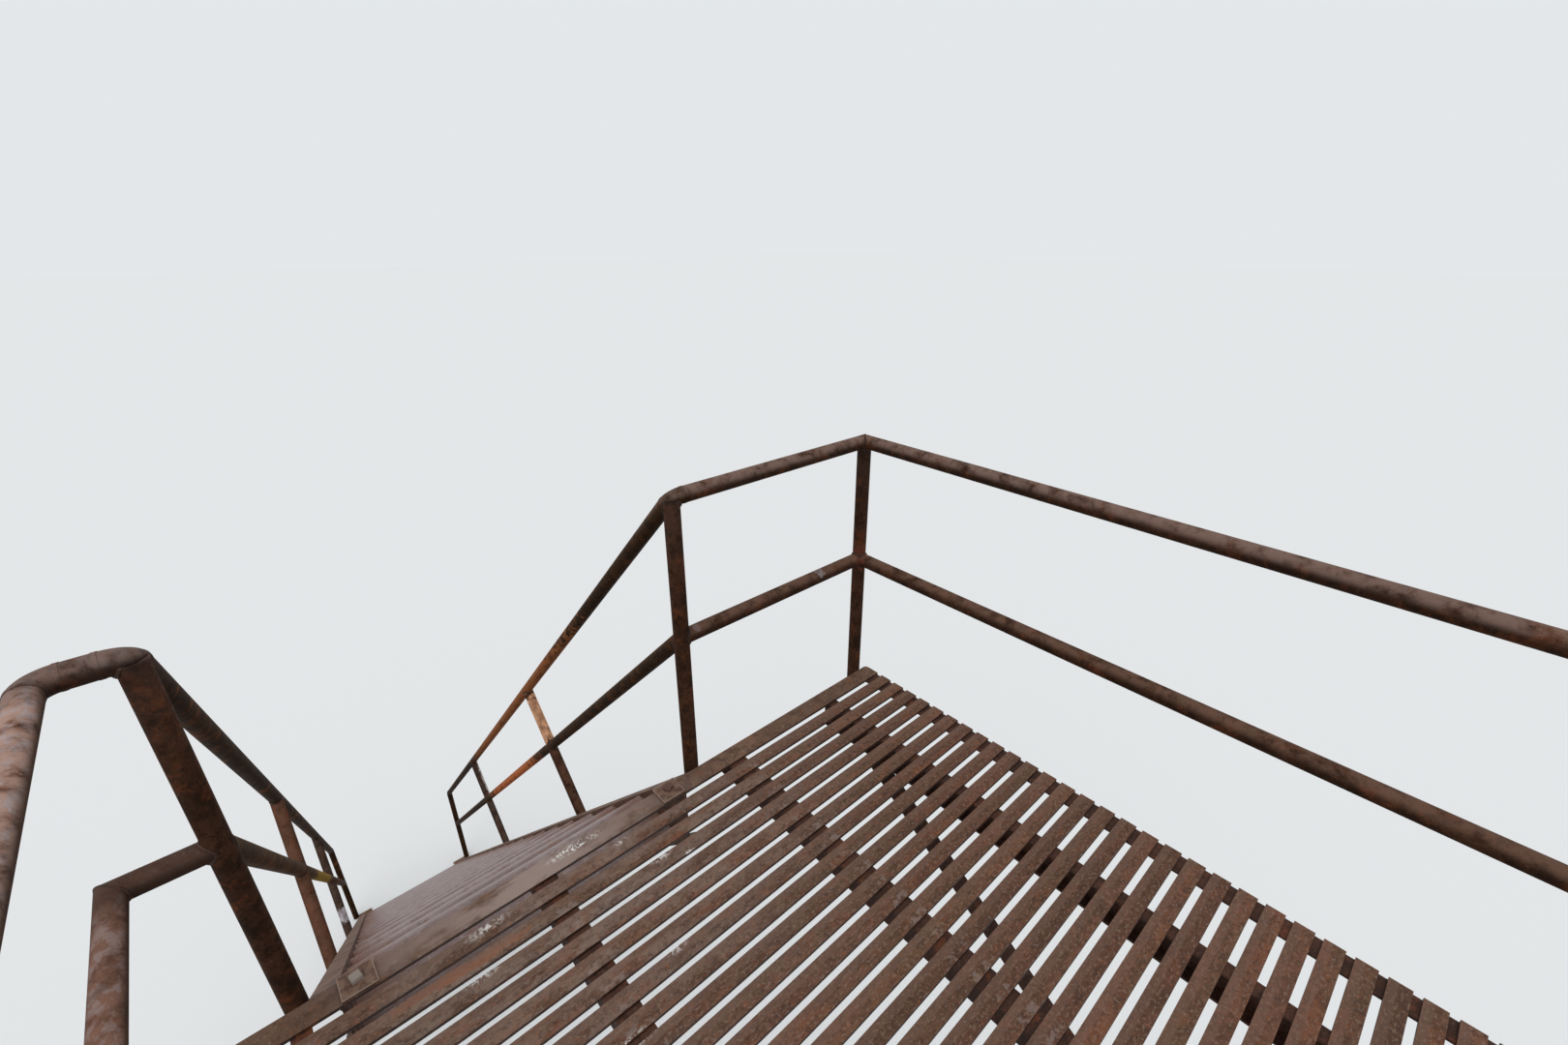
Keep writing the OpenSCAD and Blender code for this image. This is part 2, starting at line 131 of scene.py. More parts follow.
class Graph:
    """One material's nodes, made by short calls that return sockets."""

    def __init__(self, name):
        self.material = bpy.data.materials.new(name)
        self.material.use_nodes = True
        self.tree = self.material.node_tree
        self.tree.nodes.clear()
        self.place = self.node("ShaderNodeTexCoord").outputs["Object"]
        split = self.node("ShaderNodeSeparateXYZ")
        self.put(split.inputs[0], self.place)
        self.x, self.y, self.z = split.outputs
        facing = self.node("ShaderNodeSeparateXYZ")
        self.put(facing.inputs[0], self.node("ShaderNodeNewGeometry").outputs["Normal"])
        self.up = facing.outputs[2]

    def node(self, kind, **settings):
        """A new node of one kind, with its settings."""
        node = self.tree.nodes.new(kind)
        for key, value in settings.items():
            setattr(node, key, value)
        return node

    def put(self, socket, value):
        """Gives a socket its value, which may come from another socket."""
        if isinstance(value, bpy.types.NodeSocket):
            self.tree.links.new(value, socket)
        else:
            socket.default_value = value

    def math(self, operation, a, b=0.0):
        """One operation on sockets or plain numbers."""
        node = self.node("ShaderNodeMath", operation=operation)
        self.put(node.inputs[0], a)
        self.put(node.inputs[1], b)
        return node.outputs[0]

    def product(self, *factors):
        """All the factors multiplied together."""
        total = factors[0]
        for factor in factors[1:]:
            total = self.math("MULTIPLY", total, factor)
        return total

    def noise(self, scale, detail=4.0, roughness=0.55, stretch=(1, 1, 1), shift=0.0):
        """Noise from about 0.3 to 0.7. A shift gives the same kind of pattern elsewhere."""
        mapping = self.node("ShaderNodeMapping")
        self.put(mapping.inputs["Vector"], self.place)
        self.put(mapping.inputs["Location"], (shift, shift, shift))
        self.put(mapping.inputs["Scale"], stretch)
        node = self.node("ShaderNodeTexNoise")
        self.put(node.inputs["Vector"], mapping.outputs[0])
        self.put(node.inputs["Scale"], scale)
        self.put(node.inputs["Detail"], detail)
        self.put(node.inputs["Roughness"], roughness)
        return node.outputs[0]

    def step(self, value, low, high):
        """0 below low and 1 above high, or the other way round where low is the higher."""
        node = self.node("ShaderNodeMapRange", interpolation_type="SMOOTHSTEP")
        if low <= high:
            ends = (low, high, 0.0, 1.0)
        else:
            ends = (high, low, 1.0, 0.0)
        self.put(node.inputs["Value"], value)
        for name, end in zip(("From Min", "From Max", "To Min", "To Max"), ends):
            self.put(node.inputs[name], end)
        return node.outputs[0]

    def mix(self, amount, a, b):
        """Colour a where the amount is 0, and colour b where it is 1."""
        node = self.node("ShaderNodeMix", data_type="RGBA")
        colours = [s for s in node.inputs if s.type == "RGBA"]
        self.put(node.inputs[0], amount)
        self.put(colours[0], a)
        self.put(colours[1], b)
        return next(s for s in node.outputs if s.type == "RGBA")

    def within(self, value, low, high, blur):
        """1 where value lies between low and high."""
        return self.product(self.step(value, low - blur, low), self.step(value, high + blur, high))

    def near(self, point, reach):
        """1 at a point and 0 at reach from it, on each axis."""
        node = self.node("ShaderNodeVectorMath", operation="SUBTRACT")
        self.put(node.inputs[0], self.place)
        self.put(node.inputs[1], point)
        scaled = self.node("ShaderNodeVectorMath", operation="DIVIDE")
        self.put(scaled.inputs[0], node.outputs[0])
        self.put(scaled.inputs[1], reach)
        length = self.node("ShaderNodeVectorMath", operation="LENGTH")
        self.put(length.inputs[0], scaled.outputs[0])
        return self.step(length.outputs["Value"], 1.0, 0.0)

    def ragged(self, place, reach, scale=40, seed=0.0):
        """A patch about a place, with torn edges like flaked paint."""
        wander = self.math("SUBTRACT", self.noise(scale, 7, 0.68, shift=seed), 0.5)
        torn = self.product(wander, 1.7)
        return self.step(self.math("ADD", self.near(place, reach), torn), 0.46, 0.58)

    def random_of(self, number):
        """One random value for each whole number that the number passes."""
        node = self.node("ShaderNodeTexWhiteNoise", noise_dimensions="1D")
        self.put(node.inputs["W"], self.math("FLOOR", number))
        return node.outputs["Value"]

    def finish(self, colour, rough, height, depth, gloss=0.22):
        """Ends the graph in one weathered, faintly glossy skin with bumps of that depth."""
        bump = self.node("ShaderNodeBump")
        self.put(bump.inputs["Strength"], 0.8)
        self.put(bump.inputs["Distance"], depth)
        self.put(bump.inputs["Height"], height)
        shader = self.node("ShaderNodeBsdfPrincipled")
        self.put(shader.inputs["Base Color"], colour)
        self.put(shader.inputs["Roughness"], rough)
        self.put(shader.inputs["Specular IOR Level"], gloss)
        self.put(shader.inputs["Normal"], bump.outputs[0])
        out = self.node("ShaderNodeOutputMaterial")
        self.put(out.inputs["Surface"], shader.outputs[0])
        return self.material


def worn_brown(graph, light, dark, rust, fleck, flecked=0.55):
    """Old brown paint: cloudy tone, dark mottling, rust spots and pale flecks of bare primer."""
    cloud = graph.step(graph.noise(3.4, 6, 0.62), 0.4, 0.6)
    colour = graph.mix(graph.product(cloud, 0.6), light, dark)
    mottle = graph.step(graph.noise(26, 7, 0.7, shift=3), 0.47, 0.58)
    colour = graph.mix(graph.product(mottle, 0.75), colour, dark)
    spots = graph.step(graph.noise(22, 7, 0.72, shift=7), 0.54, 0.64)
    colour = graph.mix(graph.product(spots, 0.6), colour, rust)
    grit = graph.step(graph.noise(170, 4, 0.65, shift=31), 0.5, 0.6)
    colour = graph.mix(graph.product(grit, 0.45), colour, dark)
    flecks = graph.step(graph.noise(88, 6, 0.7, shift=11), 0.6, 0.66)
    return graph.mix(graph.product(flecks, flecked), colour, fleck)


def pitted(graph):
    """The height of a rusted, repainted skin, with broad scale and fine grain."""
    broad = graph.noise(38, 6, 0.65, shift=2)
    fine = graph.noise(230, 4, 0.6, shift=5)
    return graph.math("ADD", broad, graph.product(fine, 0.4))


# Places on the landing that are scuffed white or rusty, and how far each one reaches

SCUFFS = (
    ((-0.47, 1.865, DECK_TOP), (0.075, 0.020, 0.03)),
    ((-0.52, 1.752, DECK_TOP), (0.060, 0.022, 0.03)),
    ((-0.33, 1.385, DECK_TOP), (0.080, 0.024, 0.03)),
    ((-0.20, 1.942, DECK_TOP), (0.110, 0.020, 0.03)),
    ((-0.09, 1.868, DECK_TOP), (0.035, 0.014, 0.03)),
    ((-0.03, 1.745, DECK_TOP), (0.045, 0.016, 0.03)),
    ((-0.14, 1.500, DECK_TOP), (0.040, 0.020, 0.03)),
    ((-0.13, 1.572, DECK_TOP), (0.030, 0.014, 0.03)),
    ((0.04, 1.704, DECK_TOP), (0.030, 0.014, 0.03)),
)
RUSTY_PLACES = (
    ((-0.50, 1.792, DECK_TOP), (0.24, 0.026, 0.03)),
    ((-0.62, 1.800, DECK_TOP), (0.20, 0.024, 0.03)),
)


def shaded_side_brown(graph):
    """The paint of sides and undersides, which nobody walks on, darkened as painted shade."""
    light, dark, rust, dust = tone(70, 46, 36), tone(44, 29, 23), tone(104, 60, 38), tone(98, 76, 66)
    return worn_brown(graph, light, dark, rust, dust, 0.3)


def scuffed(graph, colour):
    """Small white scratches and drips at the places in SCUFFS."""
    chips = graph.step(graph.noise(85, 6, 0.75, stretch=(1.6, 1, 1), shift=15), 0.51, 0.54)
    for place, reach in SCUFFS:
        colour = graph.mix(graph.product(graph.near(place, reach), chips), colour, tone(244, 240, 236))
    return colour


# Paint of the rails: light, dark, rust and dust tones, marks with their reach, and the nodes; the dust tone
# also lightens upward faces as painted top light

LANDING_TONES = (tone(74, 49, 36), tone(41, 27, 19), tone(104, 59, 36), tone(112, 84, 70))
STAIR_TONES = (tone(60, 41, 25), tone(34, 23, 13), tone(96, 58, 32), tone(84, 61, 40))
RAIL_PAINT = (
    ("landing_paint", LANDING_TONES, (
        ((0.812, POST_Y, 0.545), (0.040, 0.05, 0.03), tone(138, 132, 136)),
        ((0.284, POST_Y, 0.545), (0.024, 0.05, 0.03), tone(120, 108, 110)),
        ((1.027, POST_Y, 0.540), (0.090, 0.10, 0.11), tone(98, 56, 42)),
    ), ("corner_post", "right_landing_post", "left_landing_post", "right_side_rails", "front_rails")),
    ("stair_rusty_paint", STAIR_TONES, (
        ((RIGHT_POST_X, 4.00, -1.01), (0.20, 3.20, 3.20), tone(150, 92, 54)),
    ), ("right_stair_top_rail",)),
    ("stair_orange_paint", STAIR_TONES, (
        ((RIGHT_POST_X, 4.20, -1.66), (0.20, 1.70, 1.70), tone(194, 110, 62)),
    ), ("right_stair_mid_rails",)),
    ("stair_yellow_paint", (tone(82, 55, 31), tone(47, 31, 17), tone(110, 68, 36), tone(106, 78, 47)), (
        ((LEFT_POST_X, 4.30, -1.76), (0.20, 1.40, 1.40), tone(150, 118, 40)),
    ), ("left_stair_mid_rails",)),
    ("upper_post_paint", (tone(64, 39, 27), tone(38, 25, 18), tone(98, 54, 35), tone(100, 70, 55)), (
        ((RIGHT_POST_X, 3.44, -0.70), (0.10, 0.28, 0.28), tone(232, 174, 134)),
    ), ("right_upper_post",)),
    ("left_post_paint", (tone(94, 59, 42), tone(62, 39, 28), tone(118, 66, 44), tone(112, 80, 64)), (),
     ("left_upper_post",)),
    ("lower_post_paint", (tone(64, 47, 38), tone(38, 28, 22), tone(92, 54, 36), tone(90, 72, 63)), (
        ((0.258, 5.21, -2.44), (0.026, 0.30, 0.30), tone(222, 206, 204)),
        ((LEFT_POST_X, 4.92, -2.75), (0.06, 0.10, 0.13), tone(202, 192, 198)),
    ), ("right_lower_post", "left_lower_post")),
)


def slat_steel():
    """Walked-on flat bars: reddish brown, worn to mauve grey toward the head of the stair, with painted
    shade on their sides and undersides.
    """
    graph = Graph("slat_steel")
    number = graph.math("DIVIDE", graph.math("SUBTRACT", SLATS_FRONT, graph.y), SLAT_PITCH)
    over_bar = graph.math("FRACT", number)
    own = graph.random_of(number)
    streak = graph.noise(1.7, 5, 0.6, stretch=(1, 7, 7))
    colour = graph.mix(graph.step(streak, 0.4, 0.6), tone(112, 74, 55), tone(98, 70, 50))
    colour = graph.mix(graph.product(graph.step(own, 0.1, 0.9), 0.6), colour, tone(78, 51, 39))

    worn = graph.near((STAIR_X + 0.05, 2.02, DECK_TOP), (1.25, 1.1, 9))
    patchy = graph.step(graph.noise(6.5, 6, 0.62, stretch=(1, 3, 3), shift=4), 0.38, 0.56)
    colour = graph.mix(graph.product(worn, patchy, 0.95), colour, tone(128, 109, 97))
    rusty = graph.step(graph.noise(8, 7, 0.68, stretch=(1, 2.5, 2.5), shift=9), 0.52, 0.62)
    colour = graph.mix(graph.product(rusty, 0.5), colour, tone(116, 68, 43))

    clouds = graph.step(graph.noise(19, 6, 0.68, stretch=(1, 1.6, 1), shift=18), 0.47, 0.6)
    colour = graph.mix(graph.product(clouds, 0.45), colour, tone(66, 44, 34))
    mottle = graph.step(graph.noise(62, 7, 0.72, shift=3), 0.5, 0.58)
    colour = graph.mix(graph.product(mottle, 0.48), colour, tone(54, 36, 27))
    grain = graph.step(graph.noise(95, 5, 0.68, stretch=(1, 1.5, 1), shift=8), 0.53, 0.6)
    colour = graph.mix(graph.product(grain, 0.5), colour, tone(134, 110, 96))
    spots = graph.step(graph.noise(80, 6, 0.7, shift=12), 0.6, 0.66)
    colour = graph.mix(graph.product(spots, 0.6), colour, tone(138, 78, 46))

    blotch = graph.step(graph.noise(42, 4, 0.6, shift=6), 0.5, 0.58)
    rear_half = graph.step(over_bar, 0.32, 0.42)
    for x, _ in INNER_BEARERS:
        column = graph.within(graph.x, x + 0.004, x + ANGLE_LEG - 0.004, 0.008)
        colour = graph.mix(graph.product(column, rear_half, blotch, 0.45), colour, tone(136, 120, 113))

    for place, reach in RUSTY_PLACES:
        colour = graph.mix(graph.product(graph.ragged(place, reach), 0.6), colour, tone(134, 84, 58))
    colour = scuffed(graph, colour)

    is_top = graph.step(graph.up, 0.5, 0.9)
    front_part = graph.step(over_bar, 0.33, 0.29)
    colour = graph.mix(graph.product(front_part, is_top, 0.4), colour, tone(112, 86, 74))
    # Painted shade: faces that do not face up take the darker brown.
    colour = graph.mix(is_top, shaded_side_brown(graph), colour)
    rough = graph.math("SUBTRACT", 0.72, graph.product(worn, 0.24))
    return graph.finish(colour, rough, pitted(graph), 0.0008)


def edge_steel():
    """The front and rear edge pieces, worn smoothest between the two clips, with painted shade on faces that
    do not face up.
    """
    graph = Graph("edge_steel")
    light, dark, rust, dust = tone(116, 88, 70), tone(78, 56, 44), tone(122, 76, 50), tone(146, 128, 116)
    colour = worn_brown(graph, light, dark, rust, dust)
    worn = graph.near((STAIR_X, DECK_D - 0.03, DECK_TOP), (0.66, 0.3, 9))
    patchy = graph.step(graph.noise(7, 6, 0.62, stretch=(1, 3, 3), shift=4), 0.34, 0.54)
    colour = graph.mix(graph.product(worn, patchy, 0.9), colour, tone(150, 131, 122))
    colour = scuffed(graph, colour)
    # Painted shade: faces that do not face up take the darker brown.
    colour = graph.mix(graph.step(graph.up, 0.5, 0.9), shaded_side_brown(graph), colour)
    rough = graph.math("SUBTRACT", 0.7, graph.product(worn, 0.22))
    return graph.finish(colour, rough, pitted(graph), 0.001)


def tread_plate():
    """Folded plate treads: lavender grey, bare and bright along the nosing, redder at the ends, with a
    painted shadow across the back of each tread.
    """
    graph = Graph("tread_plate")
    light, dark, rust, dust = tone(152, 134, 130), tone(122, 103, 99), tone(132, 92, 76), tone(176, 164, 162)
    colour = worn_brown(graph, light, dark, rust, dust)
    out = graph.math("ABSOLUTE", graph.math("SUBTRACT", graph.x, STAIR_X))
    ends = graph.product(graph.step(out, 0.27, 0.46), graph.step(graph.noise(9, 5, 0.6), 0.3, 0.6))
    colour = graph.mix(graph.product(ends, 0.85), colour, tone(118, 80, 64))
    number = graph.math("DIVIDE", graph.math("SUBTRACT", graph.y, DECK_D + SEAT), GOING)
    depth = graph.math("FRACT", number)
    nosing = graph.product(graph.step(depth, 0.90, 0.97), graph.step(out, 0.47, 0.3))
    colour = graph.mix(graph.product(nosing, 0.65), colour, tone(172, 160, 158))
    # Painted shadow across the back of each tread, below the step above.
    back = graph.step(depth, 0.26, 0.08)
    colour = graph.mix(graph.product(back, 0.65), colour, tone(76, 58, 52))
    colour = graph.mix(graph.step(graph.up, 0.1, 0.6), tone(86, 58, 48), colour)
    rough = graph.math("SUBTRACT", 0.62, graph.product(nosing, 0.2))
    return graph.finish(colour, rough, pitted(graph), 0.0009)


def stringer_steel():
    """Channel stringers: brown webs, and flanges lighter in patches on their upward faces."""
    graph = Graph("stringer_steel")
    light, dark, rust, dust = tone(96, 67, 54), tone(66, 44, 35), tone(126, 72, 44), tone(134, 112, 98)
    colour = worn_brown(graph, light, dark, rust, dust)
    # Upward faces lighter in patches.
    topside = graph.step(graph.up, 0.35, 0.65)
    worn = graph.step(graph.noise(11, 6, 0.62, shift=4), 0.4, 0.56)
    colour = graph.mix(graph.product(topside, worn, 0.8), colour, tone(126, 97, 78))
    for _, side in SIDES:
        colour = clip_grime_and_rim_highlight(graph, colour, STAIR_X + side * (WEB_X - CLIP_LEG / 2))
    return graph.finish(colour, 0.68, pitted(graph), 0.001)


def clip_grime_and_rim_highlight(graph, colour, middle_x):
    """Grime over the top of one clip on the front bar, and a pale painted highlight along the clip's rim."""
    half_leg, half_len = CLIP_LEG / 2, CLIP_LEN / 2
    aside = graph.math("ABSOLUTE", graph.math("SUBTRACT", graph.x, middle_x))
    away = graph.math("ABSOLUTE", graph.math("SUBTRACT", graph.y, DECK_D + CLIP_T - half_len))
    # Painted highlight along the clip's rim.
    rim_highlight = graph.math("MAXIMUM", graph.step(aside, half_leg - 0.003, half_leg - 0.001),
                 graph.step(away, half_len - 0.003, half_len - 0.001))
    is_high = graph.step(graph.z, DECK_TOP + 0.00425, DECK_TOP + 0.00625)
    plate = graph.product(graph.step(aside, half_leg + 0.002, half_leg), is_high)
    grime = graph.step(graph.noise(46, 6, 0.7, shift=14), 0.42, 0.6)
    dirty = graph.mix(grime, tone(122, 96, 82), tone(84, 62, 52))
    colour = graph.mix(graph.product(plate, 0.8), colour, dirty)
    return graph.mix(graph.product(plate, rim_highlight, 0.7), colour, tone(156, 134, 120))


def frame_steel():
    """Bearers, brackets and uprights under the landing, in the darkest and rustiest brown."""
    graph = Graph("frame_steel")
    light, dark, rust, dust = tone(88, 57, 45), tone(56, 37, 29), tone(122, 66, 38), tone(118, 94, 82)
    colour = worn_brown(graph, light, dark, rust, dust)
    return graph.finish(colour, 0.78, pitted(graph), 0.0014)


def pipe_steel(name, light, dark, rust, dust, marks):
    """Rail pipe: brown paint with the marks given, rust and soot over it, and dust with painted top light on
    top.
    """
    graph = Graph(name)
    colour = worn_brown(graph, light, dark, rust, dust, 0.25)
    for seed, (place, reach, mark) in enumerate(marks):
        colour = graph.mix(graph.product(graph.ragged(place, reach, 45, seed), 0.9), colour, mark)
    return aged_pipe(graph, colour, rust, dust)


def aged_pipe(graph, colour, rust, dust):
    """Ends a pipe's paint with rust that breaks through, soot in the hollows, and settled dust with painted
    top light on upward faces.
    """
    breaks = graph.step(graph.noise(9, 7, 0.7, shift=21), 0.54, 0.64)
    colour = graph.mix(graph.product(breaks, 0.5), colour, rust)
    soot = graph.step(graph.noise(12, 7, 0.7, shift=33), 0.55, 0.62)
    colour = graph.mix(graph.product(soot, 0.45), colour, tone(32, 22, 16))
    # Upward faces lighter: settled dust and painted top light.
    top_patches = graph.step(graph.noise(24, 6, 0.66, shift=5), 0.3, 0.6)
    colour = graph.mix(graph.product(graph.step(graph.up, 0.0, 0.8), top_patches, 0.7), colour, dust)
    handled = graph.product(graph.step(graph.z, 0.75, 0.92), graph.step(graph.up, -0.2, 0.6), top_patches)
    colour = graph.mix(graph.product(handled, 0.4), colour, tone(142, 120, 112))
    return graph.finish(colour, 0.74, pitted(graph), 0.0016, 0.05)


def level_worn_paint():
    """The left rails: peeled to mauve by the wall, pale on top with dust and painted top light, in painted
    shade on their sides and over the level part at the corner, and sooty down the stair.
    """
    graph = Graph("level_worn_paint")
    rust = tone(124, 72, 48)
    low = graph.step(graph.z, 0.8, 0.6)
    corner = graph.step(graph.y, 1.86, 1.97)
    stair = graph.step(graph.y, 2.01, 2.08)
    peeled = graph.step(graph.noise(56, 7, 0.68, stretch=(1, 0.6, 1), shift=27), 0.49, 0.55)
    # Dust tone for upward faces, also painted top light, dimmer on the middle rail.
    dust = graph.mix(low, tone(212, 172, 154), tone(134, 100, 86))
    pale = graph.mix(low, tone(208, 190, 188), tone(150, 128, 122))
    dust = graph.mix(graph.product(peeled, graph.step(graph.up, -0.1, 0.6)), dust, pale)
    colour = worn_brown(graph, tone(112, 76, 60), tone(70, 48, 38), rust, dust, 0.4)
    # Painted shade on the sides that do not face up.
    colour = graph.mix(graph.product(graph.step(graph.up, 0.75, 0.3), 0.8), colour, tone(62, 44, 36))
    # Painted shade over the level part at the corner, here and in the top colour below.
    colour = graph.mix(graph.product(corner, 0.75), colour, tone(58, 43, 36))
    colour = graph.mix(stair, colour, worn_brown(graph, *STAIR_TONES, 0.25))
    dust = graph.mix(graph.product(corner, 0.8), dust, tone(70, 53, 45))
    return aged_pipe(graph, colour, rust, graph.mix(stair, dust, STAIR_TONES[3]))


def bolt_steel():
    """Bolt heads: dull red-brown, but bare grey metal on the one in the left clip."""
    graph = Graph("bolt_steel")
    light, dark, rust, dust = tone(112, 82, 72), tone(72, 50, 44), tone(122, 72, 50), tone(140, 120, 112)
    colour = worn_brown(graph, light, dark, rust, dust)
    left_bolt = (STAIR_X - CLIP_BOLT_X, CLIP_BOLT_Y, DECK_TOP)
    bare = graph.product(graph.near(left_bolt, (0.06, 0.06, 0.06)), 1.6)
    colour = graph.mix(graph.math("MINIMUM", bare, 0.8), colour, tone(150, 140, 130))
    return graph.finish(colour, 0.55, pitted(graph), 0.0006)


def weld_steel():
    """Weld metal under the same old paint, a little darker and finer in grain."""
    graph = Graph("weld_steel")
    light, dark, rust, dust = tone(76, 52, 41), tone(44, 30, 23), tone(102, 58, 38), tone(118, 98, 90)
    colour = worn_brown(graph, light, dark, rust, dust)
    return graph.finish(colour, 0.66, graph.noise(300, 3), 0.0005)


# Mesh pieces


def new_piece(name, bm, material):
    """Turns a bmesh into a named object that rides on the stair."""
    mesh = bpy.data.meshes.new(name)
    bmesh.ops.recalc_face_normals(bm, faces=bm.faces)
    bm.to_mesh(mesh)
    bm.free()
    piece = bpy.data.objects.new(name, mesh)
    bpy.context.scene.collection.objects.link(piece)
    mesh.materials.append(material)
    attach(piece, "root")
    return piece


def across(direction):
    """Two directions at right angles to this one and to each other."""
    side = direction.orthogonal().normalized()
    return side, direction.cross(side).normalized()


def add_rings(bm, rings, closed):
    """Skins a tube over rings of points, capped at its two ends unless it is a closed loop."""
    verts = [[bm.verts.new(p) for p in ring] for ring in rings]
    count = len(verts[0])
    pairs = list(zip(verts, verts[1:]))
    if closed:
        pairs.append((verts[-1], verts[0]))
    for a, b in pairs:
        for i in range(count):
            j = (i + 1) % count
            face = bm.faces.new((a[i], a[j], b[j], b[i]))
            face.smooth = True
    if not closed:
        bm.faces.new(verts[0])
        bm.faces.new(verts[-1])


# Weld beads: ripples, legs of the fillets, points round a pipe and their spacing, sides of a bead

RIPPLE = 0.0055
PIPE_LEG = 0.0055
MITRE_LEG = 0.004
PIPE_POINTS = 96
FLANGE_POINTS = 72
MITRE_SPACING = 0.0018
FLANGE_SPACING = 0.0021
BEAD_SIDES = 7

# How far inside its own pipe the search for each kind of joint starts

UNDER_RAIL = 0.07
BESIDE_POST = 0.08
UNDER_BEND = 0.085
SLANTING = 0.12


def ripple(run, p, least=0.92, wave=0.16, lumps=0.22):
    """How wide a weld is against its mean width, at a length run along it."""
    return least + wave * abs(math.sin(math.pi * run / RIPPLE)) + lumps * noise.noise(p * 60)


def add_bead(bm, points, radius):
    """A weld bead along a path: a tube that swells and narrows with each ripple."""
    end_taper = 0.45
    last = len(points) - 1
    run = 0.0
    rings = []
    side = (points[1] - points[0]).orthogonal().normalized()
    for i, p in enumerate(points):
        ahead = points[min(i + 1, last)]
        behind = points[max(i - 1, 0)]
        along = (ahead - behind).normalized()
        side = (side - along * side.dot(along)).normalized()
        other = along.cross(side)
        swell = ripple(run, p, 0.84, 0.2, 0.2)
        if i in (0, last):
            swell *= end_taper
        ring = []
        for k in range(BEAD_SIDES):
            turn = 2 * math.pi * k / BEAD_SIDES
            ring.append(p + (side * math.cos(turn) + other * math.sin(turn)) * radius * swell)
        rings.append(ring)
        run += (ahead - p).length
    add_rings(bm, rings, False)


def straight_bead(bm, a, b, radius, spacing=0.0028):
    """A weld bead from a to b, with the small wander of a hand weld."""
    fewest, wander_size, wander_scale = 4, 0.0007, 45
    count = max(fewest, round((b - a).length / spacing))
    side, other = across((b - a).normalized())
    points = []
    for i in range(count + 1):
        p = a.lerp(b, i / count)
        wander = noise.noise_vector(p * wander_scale) * wander_size
        points.append(p + side * wander.x + other * wander.y)
    add_bead(bm, points, radius)


def tree_of(*names):
    """One search tree over the surfaces of several CAD nodes."""
    verts, faces = [], []
    for name in names:
        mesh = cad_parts[name].data
        first = len(verts)
        verts.extend(v.co.copy() for v in mesh.vertices)
        faces.extend([first + i for i in poly.vertices] for poly in mesh.polygons)
    return BVHTree.FromPolygons(verts, faces)


def seam_ring(corner, own, mate, leg_own, leg_mate, swell):
    """The section of a weld between two skins, from each one's normal and the weld's leg on it."""
    thinnest, bulge, root_depth = 0.0007, 0.0004, 0.0012
    lift = (own + mate).normalized()
    throat = thinnest
    if (leg_own + leg_mate).dot(lift) > 0:
        throat += leg_own.length * math.sqrt(max(0.0, (1 - own.dot(mate)) / 2))
    crown = corner + lift * throat * swell
    toes = (corner + leg_own * swell, corner + leg_mate * swell)
    shoulders = [(toe + crown) / 2 + lift * bulge for toe in toes]
    return [corner - lift * root_depth, toes[0], shoulders[0], crown, shoulders[1], toes[1]]


def joint_bead(bm, tree, start, direction, reach=0.09):
    """A fillet round a coped pipe end. start is inside the pipe, and direction runs to the joint."""
    skin = 0.0004
    side, other = across(direction)
    spokes = []
    for i in range(PIPE_POINTS):
        turn = 2 * math.pi * i / PIPE_POINTS
        out = side * math.cos(turn) + other * math.sin(turn)
        spot, normal, _, _ = tree.ray_cast(start + out * (PIPE_R - skin), direction, reach)
        spokes.append((out, spot, normal))
    found = [spot for _, spot, _ in spokes if spot is not None]
    if len(found) < PIPE_POINTS / 2:
        raise ValueError(f"no joint found from {tuple(round(c, 3) for c in start)}")
    deepest = max((spot - start).dot(direction) for spot in found)
    corners, mates = [], []
    for out, spot, normal in spokes:
        if spot is None:
            spot, normal = start + out * PIPE_R + direction * deepest, out
        corners.append(spot)
        mates.append(normal)
    rings = []
    run = 0.0
    for i, (out, _, _) in enumerate(spokes):
        ahead = (i + 1) % PIPE_POINTS
        corner = (corners[i - 1] + corners[i] * 2 + corners[ahead]) / 4 + out * skin
        mate = (mates[i - 1] + mates[i] * 2 + mates[ahead]).normalized()
        leg_mate = (out - mate * out.dot(mate)) * PIPE_LEG
        rings.append(seam_ring(corner, out, mate, -direction * PIPE_LEG, leg_mate, ripple(run, corner)))
        run += (corners[ahead] - corners[i]).length
    add_rings(bm, rings, True)


def basis(origin, up):
    """A matrix whose Z axis is up and whose origin is at a point."""
    side, other = across(up)
    return Matrix.Translation(origin) @ Matrix((side, other, up)).transposed().to_4x4()


def ring_of(matrix, radius, height, sides, turn=0.0):
    """Points round a circle at a height over a basis."""
    points = []
    for i in range(sides):
        a = turn + 2 * math.pi * i / sides
        points.append(matrix @ Vector((radius * math.cos(a), radius * math.sin(a), height)))
    return points


def add_head(bm, origin, up, width, height, sides=6, washer=True, turn=0.0):
    """A bolt head or nut with its chamfered top, on a round washer."""
    sunk, washer_t, washer_sides = 0.0002, 0.0022, 28
    matrix = basis(origin, up)
    base = 0.0
    if washer:
        base = washer_t
        outer = width * 0.98
        rings = [ring_of(matrix, outer, z, washer_sides) for z in (-sunk, base * 0.7)]
        rings.append(ring_of(matrix, outer * 0.95, base, washer_sides))
        add_rings(bm, rings, False)
    corner = width / 2 / math.cos(math.pi / sides)
    rings = [
        ring_of(matrix, corner, base - sunk, sides, turn),
        ring_of(matrix, corner, base + height * 0.78, sides, turn),
        ring_of(matrix, corner * 0.84, base + height, sides, turn),
    ]
    first = len(bm.faces)
    add_rings(bm, rings, False)
    bm.faces.ensure_lookup_table()
    for face in bm.faces[first:]:
        face.smooth = False


